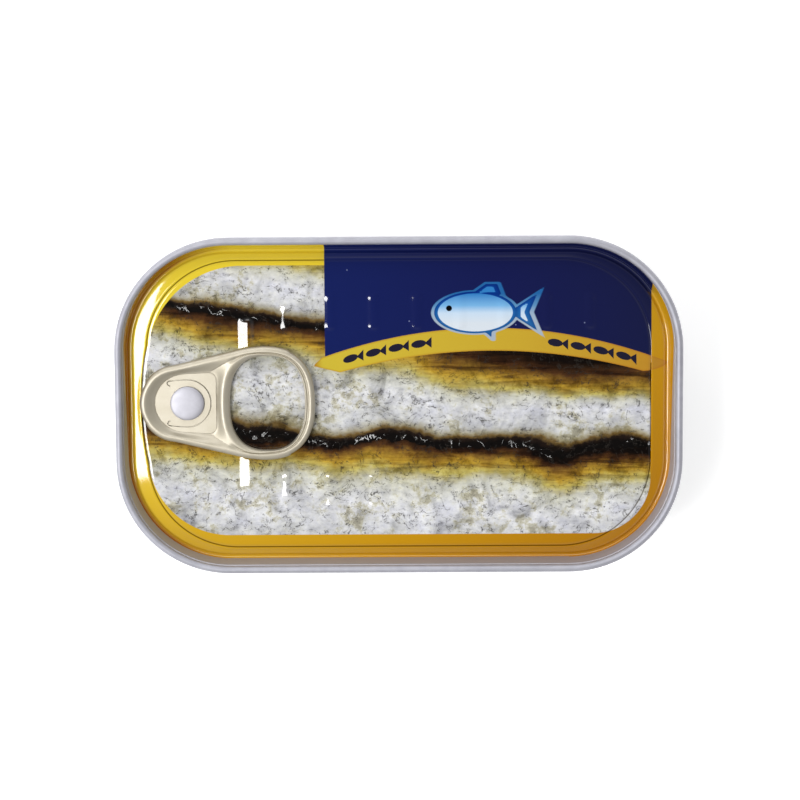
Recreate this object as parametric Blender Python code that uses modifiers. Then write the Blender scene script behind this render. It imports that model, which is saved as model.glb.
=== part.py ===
"""Sardine tin, 125 g size: a shut drawn tin with an easy-open end and its pull tab.

Blender 4.5 script, in metres, +Z up. The origin is the middle of the base. +X runs along
the tin, away from the tab, and +Y is the tab's left as it is pulled.
"""

import math

import bmesh
import bpy
from mathutils import Matrix, Vector

# Driving sizes of the tin
TIN_LENGTH = 0.1045
TIN_WIDTH = 0.0623
TIN_HEIGHT = 0.0290
SEAM_CORNER_RADIUS = 0.0209
SEAM_HEIGHT = 0.0030
SEAM_THICKNESS = 0.0013
SEAM_FOOT_ROUND = 0.0003
SEAM_ROUND_STEPS = 8
PIECE_GAP = 0.0003
DRAFT = 0.0001
WELD_DISTANCE = 0.000001

# Easy-open end: insets are from the seam's outer side, depths from its top
CHUCK_WALL_FOOT = 0.00225
COUNTERSINK_DEPTH = 0.0049
COUNTERSINK_FLAT = 0.0002
COUNTERSINK_ROUND = 0.0004
PANEL_DEPTH = 0.0038
PLATE_THICKNESS = 0.0005
SCORE_INSET = 0.0044
SCORE_END_SHIFT = 0.0013
PANEL_RIM_STEPS = 4
SCORE_WIDTH = 0.0004
SCORE_DEPTH = 0.00012
CORNER_SEGMENTS = 12

# Ribs pressed up in the panel: one row along each long side, and a longer one at each side of the ring
RIB_COUNT = 8
RIB_FIRST_X = -0.0206
RIB_PITCH = 0.0080
RIB_MIDDLE_Y = 0.0167
RIB_LENGTH = 0.0074
RIB_FIRST_MIDDLE_Y = 0.0157
RIB_FIRST_LENGTH = 0.0056
RIB_WIDTH = 0.0026
RIB_HEIGHT = 0.00035
RIB_SIDES = 12
BEAD_X = -0.0283
BEAD_MIDDLE_Y = 0.0128
BEAD_LENGTH = 0.0070

# Rivet that is drawn up out of the panel and holds the tab
RIVET_X = -0.0391
RIVET_STEM_RADIUS = 0.0019
RIVET_HEAD_RADIUS = 0.0032
RIVET_HEAD_THICKNESS = 0.0002
RIVET_DOME_HEIGHT = 0.0005
RIVET_STEPS = 32
DOME_STEPS = 4

# Pull tab
TAB_LIFT = 0.0006
TAB_NOSE_X = -0.0478
TAB_NOSE_HALF_LENGTH = 0.0062
TAB_NOSE_HALF_WIDTH = 0.0070
TAB_NOSE_POWER = 1.9
TAB_SHOULDER_BACK = 0.0030
TAB_SHOULDER_DROP = 0.0003
TAB_RING_X = -0.0252
TAB_RING_HALF_LENGTH = 0.0095
TAB_RING_HALF_WIDTH = 0.0105
RING_HOLE_X = -0.0243
RING_HOLE_HALF_LENGTH = 0.0069
RING_HOLE_HALF_WIDTH = 0.0087
RING_POWER = 2.5
TAB_THICKNESS = 0.0014
TAB_EDGE_ROUND = 0.0005
EDGE_ROUND_RESOLUTION = 1
ISLAND_LEFT_X = -0.0450
ISLAND_RIGHT_X = -0.0335
ISLAND_HALF_WIDTH = 0.0058
ISLAND_CORNER_RADIUS = 0.0013
ISLAND_SHEET = 0.0004
OUTLINE_STEPS = 14
SMALL_CORNER_STEPS = 4

# Drawn body
BODY_INSET = 0.0011
RIM_WALL = 0.0003
WALL_TAPER = 0.0016
BASE_EDGE_RADIUS = 0.0038
BASE_EDGE_STEPS = 5
FOOT_WIDTH = 0.0030
BASE_STEP_WIDTH = 0.0010
BASE_RECESS = 0.0007

SEAM_FOOT_Z = TIN_HEIGHT - SEAM_HEIGHT
PANEL_Z = TIN_HEIGHT - PANEL_DEPTH
COUNTERSINK_Z = TIN_HEIGHT - COUNTERSINK_DEPTH
PLATE_BOTTOM_Z = COUNTERSINK_Z - PLATE_THICKNESS
TAB_BOTTOM_Z = PANEL_Z + TAB_LIFT


def clear_scene():
    """Remove every object that the file holds."""
    for item in list(bpy.data.objects):
        bpy.data.objects.remove(item, do_unlink=True)


def new_collection(name):
    """Return a new collection linked to the scene."""
    collection = bpy.data.collections.new(name)
    bpy.context.scene.collection.children.link(collection)
    return collection


def make_material(name, colour, roughness, metallic):
    """Return a Principled material with the given colour."""
    material = bpy.data.materials.new(name)
    material.use_nodes = True
    shader = material.node_tree.nodes["Principled BSDF"]
    shader.inputs["Base Color"].default_value = (*colour, 1.0)
    shader.inputs["Roughness"].default_value = roughness
    shader.inputs["Metallic"].default_value = metallic
    return material


def object_from_bmesh(name, bm, collection):
    """Turn a bmesh into an object that is shaded smooth except at its sharp edges."""
    bmesh.ops.recalc_face_normals(bm, faces=bm.faces[:])
    mesh = bpy.data.meshes.new(name)
    bm.to_mesh(mesh)
    bm.free()
    mesh.shade_smooth()
    mesh.set_sharp_from_angle(angle=math.radians(35.0))
    item = bpy.data.objects.new(name, mesh)
    collection.objects.link(item)
    return item


def hide_cutter(item):
    """Show a cutter as wires and keep it out of renders."""
    item.display_type = "WIRE"
    item.hide_render = True


def apply_boolean(item, cutter, operation):
    """Join or cut an object with a cutter, and remove the cutter."""
    modifier = item.modifiers.new(operation.title(), "BOOLEAN")
    modifier.operation = operation
    modifier.solver = "EXACT"
    modifier.object = cutter
    graph = bpy.context.evaluated_depsgraph_get()
    mesh = bpy.data.meshes.new_from_object(item.evaluated_get(graph))
    item.modifiers.clear()
    item.data = mesh
    bpy.data.objects.remove(cutter, do_unlink=True)


def rounded_face(bm, length, width, radius, height):
    """Add one flat face with four round corners, and return it."""
    made = bmesh.ops.create_grid(bm, x_segments=1, y_segments=1, size=0.5)
    corners = made["verts"]
    bmesh.ops.scale(bm, verts=corners, vec=(length, width, 1.0))
    bmesh.ops.translate(bm, verts=corners, vec=(0.0, 0.0, height))
    bmesh.ops.bevel(bm, geom=corners, affect="VERTICES", offset=radius,
                    segments=CORNER_SEGMENTS, profile=0.5, material=-1)
    bm.faces.ensure_lookup_table()
    return bm.faces[-1]


def step_face(bm, face, inset, height, end_shift=0.0):
    """Draw a face inwards and to a new height, leaving a ring of side faces behind it."""
    level = face.calc_center_median().z
    rise = (height - level) * (1.0 if face.normal.z > 0.0 else -1.0)
    bmesh.ops.inset_individual(bm, faces=[face], thickness=inset, depth=rise, use_even_offset=True)
    for vert in face.verts:
        vert.co.x -= math.copysign(end_shift, vert.co.x)


def sweep_profile(bm, face, profile):
    """Carry a face through a list of (inset from the start, height, end shift) steps."""
    inset_before = 0.0
    for inset, height, end_shift in profile:
        step_face(bm, face, inset - inset_before, height, end_shift)
        inset_before = inset


def arc_steps(centre_inset, centre_height, radius, first_deg, last_deg, count):
    """Return profile steps along an arc, with angles from the outward direction up."""
    steps = []
    for number in range(count + 1):
        angle = math.radians(first_deg + (last_deg - first_deg) * number / count)
        inset = centre_inset - radius * math.cos(angle)
        steps.append((inset, centre_height + radius * math.sin(angle), 0.0))
    return steps


def turned_rivet(collection):
    """Return the rivet as a turned solid whose foot is sunk in the panel."""
    foot_z = PANEL_Z - PLATE_THICKNESS
    head_z = TAB_BOTTOM_Z + ISLAND_SHEET + PIECE_GAP
    dome = []
    for number in range(DOME_STEPS + 1):
        angle = math.radians(90.0 * (1.0 - number / DOME_STEPS))
        radius = RIVET_HEAD_RADIUS * math.cos(angle)
        dome.append((radius, head_z + RIVET_HEAD_THICKNESS + RIVET_DOME_HEIGHT * math.sin(angle)))
    profile = dome + [
        (RIVET_HEAD_RADIUS, head_z),
        (RIVET_STEM_RADIUS, head_z),
        (RIVET_STEM_RADIUS, foot_z),
        (0.0, foot_z),
    ]
    bm = bmesh.new()
    verts = [bm.verts.new((radius, 0.0, height)) for radius, height in profile]
    for first, second in zip(verts, verts[1:]):
        bm.edges.new((first, second))
    mesh = bpy.data.meshes.new("rivet_profile")
    bm.to_mesh(mesh)
    bm.free()
    item = bpy.data.objects.new("rivet_profile", mesh)
    item.location = (RIVET_X, 0.0, 0.0)
    collection.objects.link(item)
    screw = item.modifiers.new("Turn", "SCREW")
    screw.steps = RIVET_STEPS
    screw.render_steps = RIVET_STEPS
    screw.use_merge_vertices = True
    screw.merge_threshold = 0.00001
    hide_cutter(item)
    return item


def pressed_rib(bm, x, y, length):
    """Add one low pill-shaped rib that lies across the tin, half sunk in the panel."""
    made = bmesh.ops.create_uvsphere(bm, u_segments=RIB_SIDES, v_segments=6, radius=1.0)
    verts = made["verts"]
    stretch = length / 2.0 - RIB_WIDTH / 2.0
    bmesh.ops.scale(bm, verts=verts, vec=(RIB_WIDTH / 2.0, RIB_WIDTH / 2.0, RIB_HEIGHT))
    for vert in verts:
        if abs(vert.co.y) > WELD_DISTANCE:
            vert.co.y += math.copysign(stretch, vert.co.y)
    bmesh.ops.translate(bm, verts=verts, vec=(x, y, PANEL_Z))


def rib_rows(collection):
    """Return both rows of ribs and the longer ribs beside the ring as one helper object."""
    bm = bmesh.new()
    for side in (-1.0, 1.0):
        pressed_rib(bm, BEAD_X, side * BEAD_MIDDLE_Y, BEAD_LENGTH)
        pressed_rib(bm, RIB_FIRST_X, side * RIB_FIRST_MIDDLE_Y, RIB_FIRST_LENGTH)
        for number in range(1, RIB_COUNT):
            pressed_rib(bm, RIB_FIRST_X + RIB_PITCH * number, side * RIB_MIDDLE_Y, RIB_LENGTH)
    item = object_from_bmesh("rib_rows", bm, collection)
    hide_cutter(item)
    return item


def end_profile():
    """Return the easy-open end's upper steps, from the seam over its top to the score line."""
    crown = SEAM_THICKNESS / 2.0
    steps = arc_steps(crown, TIN_HEIGHT - crown, crown, 0.0, 180.0, SEAM_ROUND_STEPS)
    groove_round_z = COUNTERSINK_Z + COUNTERSINK_ROUND
    groove_start = CHUCK_WALL_FOOT + COUNTERSINK_ROUND
    groove_end = groove_start + COUNTERSINK_FLAT
    steps += arc_steps(groove_start, groove_round_z, COUNTERSINK_ROUND, 0.0, -90.0, 3)
    steps.append((groove_end, COUNTERSINK_Z, 0.0))
    rim_end = SCORE_INSET - SCORE_WIDTH / 2.0
    for number in range(1, PANEL_RIM_STEPS + 1):
        share = number / PANEL_RIM_STEPS
        inset = groove_end + (rim_end - groove_end) * share
        height = COUNTERSINK_Z + (PANEL_Z - COUNTERSINK_Z) * math.sin(0.5 * math.pi * share)
        steps.append((inset, height, SCORE_END_SHIFT / PANEL_RIM_STEPS))
    steps.append((SCORE_INSET, PANEL_Z - SCORE_DEPTH, 0.0))
    steps.append((SCORE_INSET + SCORE_WIDTH / 2.0, PANEL_Z, 0.0))
    return steps


def build_end(parts, helpers):
    """Easy-open end: double seam, countersink, scored panel with ribs, and the rivet."""
    bm = bmesh.new()
    start_z = SEAM_FOOT_Z + SEAM_FOOT_ROUND
    face = rounded_face(bm, TIN_LENGTH, TIN_WIDTH, SEAM_CORNER_RADIUS, start_z)
    lower = bmesh.ops.duplicate(bm, geom=[face])["geom"]
    lower_face = [part for part in lower if isinstance(part, bmesh.types.BMFace)][0]
    lower_face.normal_flip()
    plug_inset = BODY_INSET + RIM_WALL + PIECE_GAP
    sweep_profile(bm, face, end_profile())
    sweep_profile(bm, lower_face, [
        (SEAM_FOOT_ROUND, SEAM_FOOT_Z, 0.0),
        (plug_inset, SEAM_FOOT_Z, 0.0),
        (plug_inset + DRAFT, PLATE_BOTTOM_Z, 0.0),
    ])
    bmesh.ops.remove_doubles(bm, verts=bm.verts[:], dist=WELD_DISTANCE)
    item = object_from_bmesh("easy_open_end", bm, parts)
    apply_boolean(item, rib_rows(helpers), "UNION")
    apply_boolean(item, turned_rivet(helpers), "UNION")
    item.data.materials.append(
        make_material("printed_tinplate", (0.62, 0.42, 0.05), 0.3, 0.0))
    return item


def build_body(parts):
    """Drawn body with its contents: one shut solid, tapered so that empties nest."""
    bm = bmesh.new()
    rim_z = SEAM_FOOT_Z - PIECE_GAP
    length = TIN_LENGTH - 2.0 * BODY_INSET
    width = TIN_WIDTH - 2.0 * BODY_INSET
    face = rounded_face(bm, length, width, SEAM_CORNER_RADIUS - BODY_INSET, rim_z)
    lower = bmesh.ops.duplicate(bm, geom=[face])["geom"]
    lower_face = [part for part in lower if isinstance(part, bmesh.types.BMFace)][0]
    lower_face.normal_flip()
    sweep_profile(bm, face, [
        (RIM_WALL, rim_z, 0.0),
        (RIM_WALL + DRAFT, PLATE_BOTTOM_Z - PIECE_GAP, 0.0),
    ])
    edge_centre = WALL_TAPER + BASE_EDGE_RADIUS
    base_edge = arc_steps(edge_centre, BASE_EDGE_RADIUS, BASE_EDGE_RADIUS, 0.0, -90.0, BASE_EDGE_STEPS)
    foot_end = edge_centre + FOOT_WIDTH
    sweep_profile(bm, lower_face, base_edge + [
        (foot_end, 0.0, 0.0),
        (foot_end + BASE_STEP_WIDTH, BASE_RECESS, 0.0),
    ])
    bmesh.ops.remove_doubles(bm, verts=bm.verts[:], dist=WELD_DISTANCE)
    item = object_from_bmesh("tin_body", bm, parts)
    item.data.materials.append(
        make_material("lacquered_aluminium", (0.62, 0.62, 0.65), 0.35, 1.0))
    return item


def oval_point(centre_x, half_length, half_width, power, angle):
    """Return a point on a squared oval, by its angle from +X."""
    across = math.sin(angle)
    along = math.cos(angle)
    x = centre_x + half_length * math.copysign(abs(along) ** (2.0 / power), along)
    y = half_width * math.copysign(abs(across) ** (2.0 / power), across)
    return (x, y)


def tab_outline():
    """Return the tab's outer outline: round nose, straight flanks and squared ring end."""
    nose_x = TAB_NOSE_X + TAB_NOSE_HALF_LENGTH
    nose_steps = OUTLINE_STEPS // 2
    upper = []
    for number in range(OUTLINE_STEPS + 1):
        angle = 0.5 * math.pi * number / OUTLINE_STEPS
        upper.append(oval_point(TAB_RING_X, TAB_RING_HALF_LENGTH, TAB_RING_HALF_WIDTH, RING_POWER, angle))
    upper.append((TAB_RING_X - TAB_SHOULDER_BACK, TAB_RING_HALF_WIDTH - TAB_SHOULDER_DROP))
    for number in range(nose_steps + 1):
        angle = 0.5 * math.pi * (1.0 + number / nose_steps)
        upper.append(oval_point(nose_x, TAB_NOSE_HALF_LENGTH, TAB_NOSE_HALF_WIDTH, TAB_NOSE_POWER, angle))
    lower = [(x, -y) for x, y in reversed(upper[1:-1])]
    return upper + lower


def ring_hole_outline():
    """Return the finger hole's outline."""
    count = 2 * OUTLINE_STEPS
    points = []
    for number in range(count):
        angle = 2.0 * math.pi * number / count
        points.append(oval_point(RING_HOLE_X, RING_HOLE_HALF_LENGTH, RING_HOLE_HALF_WIDTH, RING_POWER, angle))
    return points


def island_outline():
    """Return the rivet island's outline: round towards the nose, two small corners behind."""
    points = []
    corner_x = ISLAND_RIGHT_X - ISLAND_CORNER_RADIUS
    corner_y = ISLAND_HALF_WIDTH - ISLAND_CORNER_RADIUS
    for number in range(SMALL_CORNER_STEPS + 1):
        angle = 0.5 * math.pi * number / SMALL_CORNER_STEPS
        points.append((corner_x + ISLAND_CORNER_RADIUS * math.cos(angle),
                       corner_y + ISLAND_CORNER_RADIUS * math.sin(angle)))
    round_x = ISLAND_LEFT_X + ISLAND_HALF_WIDTH
    for number in range(OUTLINE_STEPS + 1):
        angle = 0.5 * math.pi + math.pi * number / OUTLINE_STEPS
        points.append((round_x + ISLAND_HALF_WIDTH * math.cos(angle), ISLAND_HALF_WIDTH * math.sin(angle)))
    for number in range(SMALL_CORNER_STEPS + 1):
        angle = 1.5 * math.pi + 0.5 * math.pi * number / SMALL_CORNER_STEPS
        points.append((corner_x + ISLAND_CORNER_RADIUS * math.cos(angle),
                       -corner_y + ISLAND_CORNER_RADIUS * math.sin(angle)))
    return points


def flat_outline_mesh(name, outlines, bottom, thickness, collection, edge_round=0.0):
    """Return a flat mesh object: the first outline, less the others, with its edges rounded."""
    curve = bpy.data.curves.new(name, "CURVE")
    curve.dimensions = "2D"
    curve.fill_mode = "BOTH"
    curve.extrude = thickness / 2.0 - edge_round
    curve.bevel_depth = edge_round
    curve.bevel_resolution = EDGE_ROUND_RESOLUTION
    curve.offset = -edge_round
    for outline in outlines:
        spline = curve.splines.new("POLY")
        spline.points.add(len(outline) - 1)
        for point, (x, y) in zip(spline.points, outline):
            point.co = (x, y, 0.0, 1.0)
        spline.use_cyclic_u = True
    flat = bpy.data.objects.new(name + "_outline", curve)
    flat.location = (0.0, 0.0, bottom + thickness / 2.0)
    collection.objects.link(flat)
    graph = bpy.context.evaluated_depsgraph_get()
    mesh = bpy.data.meshes.new_from_object(flat.evaluated_get(graph))
    bm = bmesh.new()
    bm.from_mesh(mesh)
    bmesh.ops.remove_doubles(bm, verts=bm.verts[:], dist=WELD_DISTANCE)
    bmesh.ops.transform(bm, matrix=Matrix.Translation(Vector(flat.location)), verts=bm.verts[:])
    bpy.data.objects.remove(flat, do_unlink=True)
    bpy.data.meshes.remove(mesh)
    return object_from_bmesh(name, bm, collection)


def build_tab(parts, helpers):
    """Pull tab: rolled rim, finger ring, sunk island with a hole round the rivet."""
    item = flat_outline_mesh("pull_tab", [tab_outline(), ring_hole_outline()],
                             TAB_BOTTOM_Z, TAB_THICKNESS, parts, TAB_EDGE_ROUND)
    recess = flat_outline_mesh("island_recess", [island_outline()],
                               TAB_BOTTOM_Z + ISLAND_SHEET, TAB_THICKNESS, helpers)
    hide_cutter(recess)
    apply_boolean(item, recess, "DIFFERENCE")
    bm = bmesh.new()
    made = bmesh.ops.create_cone(bm, cap_ends=True, segments=RIVET_STEPS, depth=4.0 * TAB_THICKNESS,
                                 radius1=RIVET_STEM_RADIUS + PIECE_GAP,
                                 radius2=RIVET_STEM_RADIUS + PIECE_GAP)
    bmesh.ops.translate(bm, verts=made["verts"], vec=(RIVET_X, 0.0, TAB_BOTTOM_Z))
    drill = object_from_bmesh("rivet_hole", bm, helpers)
    hide_cutter(drill)
    apply_boolean(item, drill, "DIFFERENCE")
    item.data.materials.append(make_material("gold_lacquer", (0.72, 0.62, 0.42), 0.28, 1.0))
    return item


def main():
    """Build the tin."""
    clear_scene()
    parts = new_collection("sardine_tin")
    helpers = new_collection("cutters")
    body = build_body(parts)
    end = build_end(parts, helpers)
    tab = build_tab(parts, helpers)
    for item in (end, tab):
        item.parent = body


main()
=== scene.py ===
import math
from functools import partial

import bmesh
import bpy
from mathutils import Matrix, Vector


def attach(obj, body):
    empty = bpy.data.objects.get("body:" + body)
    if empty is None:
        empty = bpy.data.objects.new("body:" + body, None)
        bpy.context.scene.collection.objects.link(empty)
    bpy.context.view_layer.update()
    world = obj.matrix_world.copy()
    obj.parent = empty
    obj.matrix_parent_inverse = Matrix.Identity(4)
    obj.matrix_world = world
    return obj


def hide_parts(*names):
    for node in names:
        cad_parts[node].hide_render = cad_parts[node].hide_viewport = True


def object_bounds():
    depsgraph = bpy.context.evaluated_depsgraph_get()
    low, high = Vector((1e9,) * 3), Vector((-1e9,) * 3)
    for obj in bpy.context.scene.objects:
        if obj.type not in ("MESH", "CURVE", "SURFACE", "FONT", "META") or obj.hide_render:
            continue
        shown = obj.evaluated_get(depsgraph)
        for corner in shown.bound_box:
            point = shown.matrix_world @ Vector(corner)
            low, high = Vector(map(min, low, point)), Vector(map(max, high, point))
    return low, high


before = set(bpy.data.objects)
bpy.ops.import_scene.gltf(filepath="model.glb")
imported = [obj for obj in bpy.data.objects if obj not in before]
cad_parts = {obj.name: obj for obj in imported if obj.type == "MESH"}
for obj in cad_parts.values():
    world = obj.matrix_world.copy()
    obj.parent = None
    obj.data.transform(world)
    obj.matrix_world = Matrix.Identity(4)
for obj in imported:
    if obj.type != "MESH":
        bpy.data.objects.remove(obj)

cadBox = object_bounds()
mm = 0.001
print("frame loaded, CAD box", [round(side / mm, 1) for side in cadBox[1] - cadBox[0]], "mm")


# Small helpers

def linear(code):
    # turns an sRGB hex colour into the linear colour that shaders use
    parts = [int(code[i:i + 2], 16) / 255 for i in (0, 2, 4)]
    return tuple(p / 12.92 if p <= 0.04045 else ((p + 0.055) / 1.055) ** 2.4 for p in parts) + (1.0,)


def setInputs(node, values):
    # links what comes from another node, and puts a constant on the socket itself
    for name, value in values.items():
        if isinstance(value, bpy.types.NodeSocket):
            node.id_data.links.new(value, node.inputs[name])
        else:
            node.inputs[name].default_value = value


def addNode(tree, kind, values=None, stops=None, out=0, **settings):
    # adds a shader node with its settings and inputs, and returns one output
    node = tree.nodes.new("ShaderNode" + kind)
    for name, value in settings.items():
        setattr(node, name, value)
    setInputs(node, values or {})
    if stops:
        elements = node.color_ramp.elements
        while len(elements) < len(stops):
            elements.new(1.0)
        for element, (position, colour) in zip(elements, stops):
            element.position = position
            element.color = linear(colour) if isinstance(colour, str) else (colour, colour, colour, 1.0)
    return node.outputs[out]


def newMaterial(name):
    # a new material, what adds a node to it, its shader, and the place on the piece in mm
    material = bpy.data.materials.new(name)
    material.use_nodes = True
    add = partial(addNode, material.node_tree)
    place = add("TexCoord", out="Object")
    inMm = add("VectorMath", {0: place, "Scale": 1 / mm}, operation="SCALE")
    return material, add, material.node_tree.nodes["Principled BSDF"], inMm


def finishPiece(name, bm, material, slot, *nodes):
    # turns a bmesh in mm into a finished piece at the origin that rides on the tin
    bmesh.ops.scale(bm, verts=bm.verts, vec=(mm, mm, mm))
    mesh = bpy.data.meshes.new(name)
    bm.to_mesh(mesh)
    bm.free()
    mesh.shade_smooth()
    piece = bpy.data.objects.new(name, mesh)
    bpy.context.scene.collection.objects.link(piece)
    mesh.materials.append(material)
    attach(piece, "root")
    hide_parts(*nodes)
    print("made", name, len(mesh.polygons), "faces")
    return piece


# Shapes of the end and the body are swept round one rounded rectangle, the seam's outer outline

tin = {
    "length": (cadBox[1].x - cadBox[0].x) / mm,
    "width": (cadBox[1].y - cadBox[0].y) / mm,
    "top": cadBox[1].z / mm,
    "corner": 20.9,          # radius of the seam's corners
    "cornerSteps": 28,
    "sideCuts": 14,          # points along each straight side, so that an end can be bowed
    "weld": 0.001,
}


def outlineFace(bm, inset, height):
    # one flat face inside the seam's outline, with round corners
    corners = bmesh.ops.create_grid(bm, x_segments=1, y_segments=1, size=0.5)["verts"]
    size = (tin["length"] - 2 * inset, tin["width"] - 2 * inset, 1)
    bmesh.ops.scale(bm, verts=corners, vec=size)
    bmesh.ops.translate(bm, verts=corners, vec=(0, 0, height))
    bmesh.ops.bevel(bm, geom=corners, affect="VERTICES", offset=tin["corner"] - inset,
                    segments=tin["cornerSteps"], profile=0.5, material=-1)
    straight = [edge for edge in bm.edges if edge.calc_length() > tin["corner"] / 2]
    bmesh.ops.subdivide_edges(bm, edges=straight, cuts=tin["sideCuts"])
    return bm.faces[:][-1]


def flippedCopy(bm, face):
    # the same face once more, looking down, from which an underside is swept
    made = bmesh.ops.duplicate(bm, geom=[face])["geom"]
    lower = [part for part in made if isinstance(part, bmesh.types.BMFace)][0]
    lower.normal_flip()
    return lower


def sweepIn(bm, face, steps, start=0.0):
    # insets a face step by step; a step is (inset from the seam's outline, height, shift of the ends, bow)
    before = start
    for inset, height, shift, bow in steps:
        level = face.calc_center_median().z
        rise = (height - level) * (1 if face.normal.z > 0 else -1)
        bmesh.ops.inset_individual(bm, faces=[face], thickness=inset - before, depth=rise,
                                   use_even_offset=True)
        for vert in face.verts:
            vert.co.x -= math.copysign(shift, vert.co.x)
            if vert.co.x < 0:
                vert.co.x -= bow * max(0, 1 - (vert.co.y / end["bowHalf"]) ** 2)
        before = inset
    return before


def arcSteps(inset, height, radius, first, last, count):
    # sweep steps along an arc; 0 degrees is its outer side and 90 its top
    steps = []
    for number in range(count + 1):
        angle = math.radians(first + (last - first) * number / count)
        steps.append((inset - radius * math.cos(angle), height + radius * math.sin(angle), 0, 0))
    return steps


def smoothStep(low, high, value):
    share = min(max((value - low) / (high - low), 0), 1)
    return share * share * (3 - 2 * share)


# Easy-open end: heights in mm above the base, insets in mm from the seam's outline

end = {
    "seamFoot": 26.0,
    "seamStraight": 0.35,    # upright part of the seam's outer side below its round crown
    "seamThick": 1.3,
    "crownRound": 0.65,
    "wallFoot": 2.25,        # inset of the chuck wall's foot
    "wallFootHeight": 25.0,
    "wallTop": 28.1,         # the seam's own piece ends here, just below the crown
    "grooveRound": 0.4,
    "grooveFloor": 24.6,
    "grooveEnd": 2.8,
    "kerb": (0.42, 0.33),     # width and rise of the steep side between the groove and the slope
    "scoreInset": 4.4,
    "scoreWidth": 0.34,
    "scoreDepth": 0.05,
    "scoreBank": ((0.6, 0.03), (1.4, 0.0)),   # how far inside the score and how high its low inner bank runs
    "panel": 25.2,
    "endShift": 1.3,         # the score stands further in at the ends than along the sides
    "bow": 1.15,             # and its end under the tab's nose is bowed outwards
    "bowHalf": 11.0,
    "plateBottom": 23.6,
    "plateTop": 25.0,        # height at which the underside starts, hidden inside the seam
    "hiddenGap": 0.12,       # how far outside the chuck wall the hidden back of the seam and the plate stand
    "slopeSteps": 6,
    "slopeSag": 0.1,
    "printEdge": (26.4, 0.07),   # height of the print's edge on the chuck wall, and its rise per mm across
}


def wallInset(height):
    # inset of the chuck wall at a height
    top = end["seamThick"]
    crownBase = tin["top"] - end["crownRound"]
    return top + (end["wallFoot"] - top) * (crownBase - height) / (crownBase - end["wallFootHeight"])


def seamDistance(x, y):
    # how far inside the seam's outline a point lies
    pastX = abs(x) - tin["length"] / 2 + tin["corner"]
    pastY = abs(y) - tin["width"] / 2 + tin["corner"]
    return tin["corner"] - math.hypot(max(pastX, 0), max(pastY, 0)) - min(max(pastX, pastY), 0)


def buildSeam(material):
    # double seam: a rolled bead with its lower edge tucked in
    bm = bmesh.new()
    crown = end["crownRound"]
    foot = end["seamFoot"]
    face = outlineFace(bm, 0, foot + 0.75)
    lower = flippedCopy(bm, face)
    steps = [(0, tin["top"] - crown - end["seamStraight"], 0, 0)]
    steps += arcSteps(crown, tin["top"] - crown, crown, 0, 180, 12)
    steps.append((wallInset(end["wallTop"]), end["wallTop"], 0, 0))
    sweepIn(bm, face, steps)
    bmesh.ops.delete(bm, geom=[face], context="FACES_ONLY")
    back = wallInset(end["wallTop"]) - end["hiddenGap"]
    sweepIn(bm, lower, [
        (0.03, foot + 0.4, 0, 0), (0.1, foot + 0.15, 0, 0), (0.25, foot, 0, 0), (0.6, foot - 0.02, 0, 0),
        (1.0, foot + 0.1, 0, 0), (back - 0.1, foot + 1.0, 0, 0), (back, end["wallTop"], 0, 0),
    ])
    bmesh.ops.delete(bm, geom=[lower], context="FACES_ONLY")
    bmesh.ops.remove_doubles(bm, verts=bm.verts[:], dist=tin["weld"])
    openLoops = [edge for edge in bm.edges if edge.is_boundary]
    bmesh.ops.bridge_loops(bm, edges=openLoops)
    bmesh.ops.recalc_face_normals(bm, faces=bm.faces[:])
    return finishPiece("seamRing", bm, material, "lacquered_aluminium", "easy_open_end")


# Relief pressed into the panel: two rows of short ribs, and a longer rib at each side of the ring

relief = {
    "cell": (0.27, 0.33),     # size of the panel's cells, which the ribs and the print need
    "ribFirstX": -20.6,
    "ribPitch": 8.0,
    "ribCount": 8,
    "ribMiddle": (15.75, 16.7),   # of the first rib, which is shorter beside the ring, and of the others
    "ribLength": (5.6, 7.4),
    "ribHalf": 1.5,
    "ribRound": 0.6,          # share of that half width which each end takes up
    "ribHeight": (0.084, 0.053),  # along its middle, and what its two ends add
    "ribEndHalf": 0.6,        # how far that added height reaches
    "ribEnd": 1.8,            # how much steeper a rib's ends are than its flanks
    "longRibLeft": (-29.5, -27.95),   # foot and ridge of the long flat flank of the longer rib
    "longRibRight": (-27.5, -26.6),
    "longRibEnds": (9.3, 16.3),       # from beside the ring outwards
    "longRibFade": 0.9,
    "longRibHeight": 0.355,
}


def reliefHeight(x, y):
    # how far the panel is pressed up at a point
    height = 0.0
    for number in range(relief["ribCount"]):
        ribX = relief["ribFirstX"] + relief["ribPitch"] * number
        if abs(x - ribX) < relief["ribHalf"]:
            kind = min(number, 1)
            stretch = relief["ribLength"][kind] / 2 - relief["ribHalf"] * relief["ribRound"]
            past = abs(abs(y - tab["middleY"]) - relief["ribMiddle"][kind]) - stretch
            away = math.hypot(x - ribX, max(past, 0) * relief["ribEnd"]) / relief["ribHalf"]
            if away < 1:
                middle, more = relief["ribHeight"]
                crest = middle + more * math.exp(-(past / relief["ribEndHalf"]) ** 2)
                height = crest * 0.5 * (1 + math.cos(math.pi * away))
    left, right = relief["longRibLeft"], relief["longRibRight"]
    if left[0] < x < right[1]:
        up = min((x - left[0]) / (left[1] - left[0]), (right[1] - x) / (right[1] - right[0]), 1)
        (near, far), fade = relief["longRibEnds"], relief["longRibFade"]
        ends = smoothStep(near, near + fade, abs(y)) * (1 - smoothStep(far - fade, far, abs(y)))
        height = max(height, relief["longRibHeight"] * up * ends)
    return height


# Print: every field is held as a distance in mm inside its edge, so that the edges come out crisp

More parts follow.
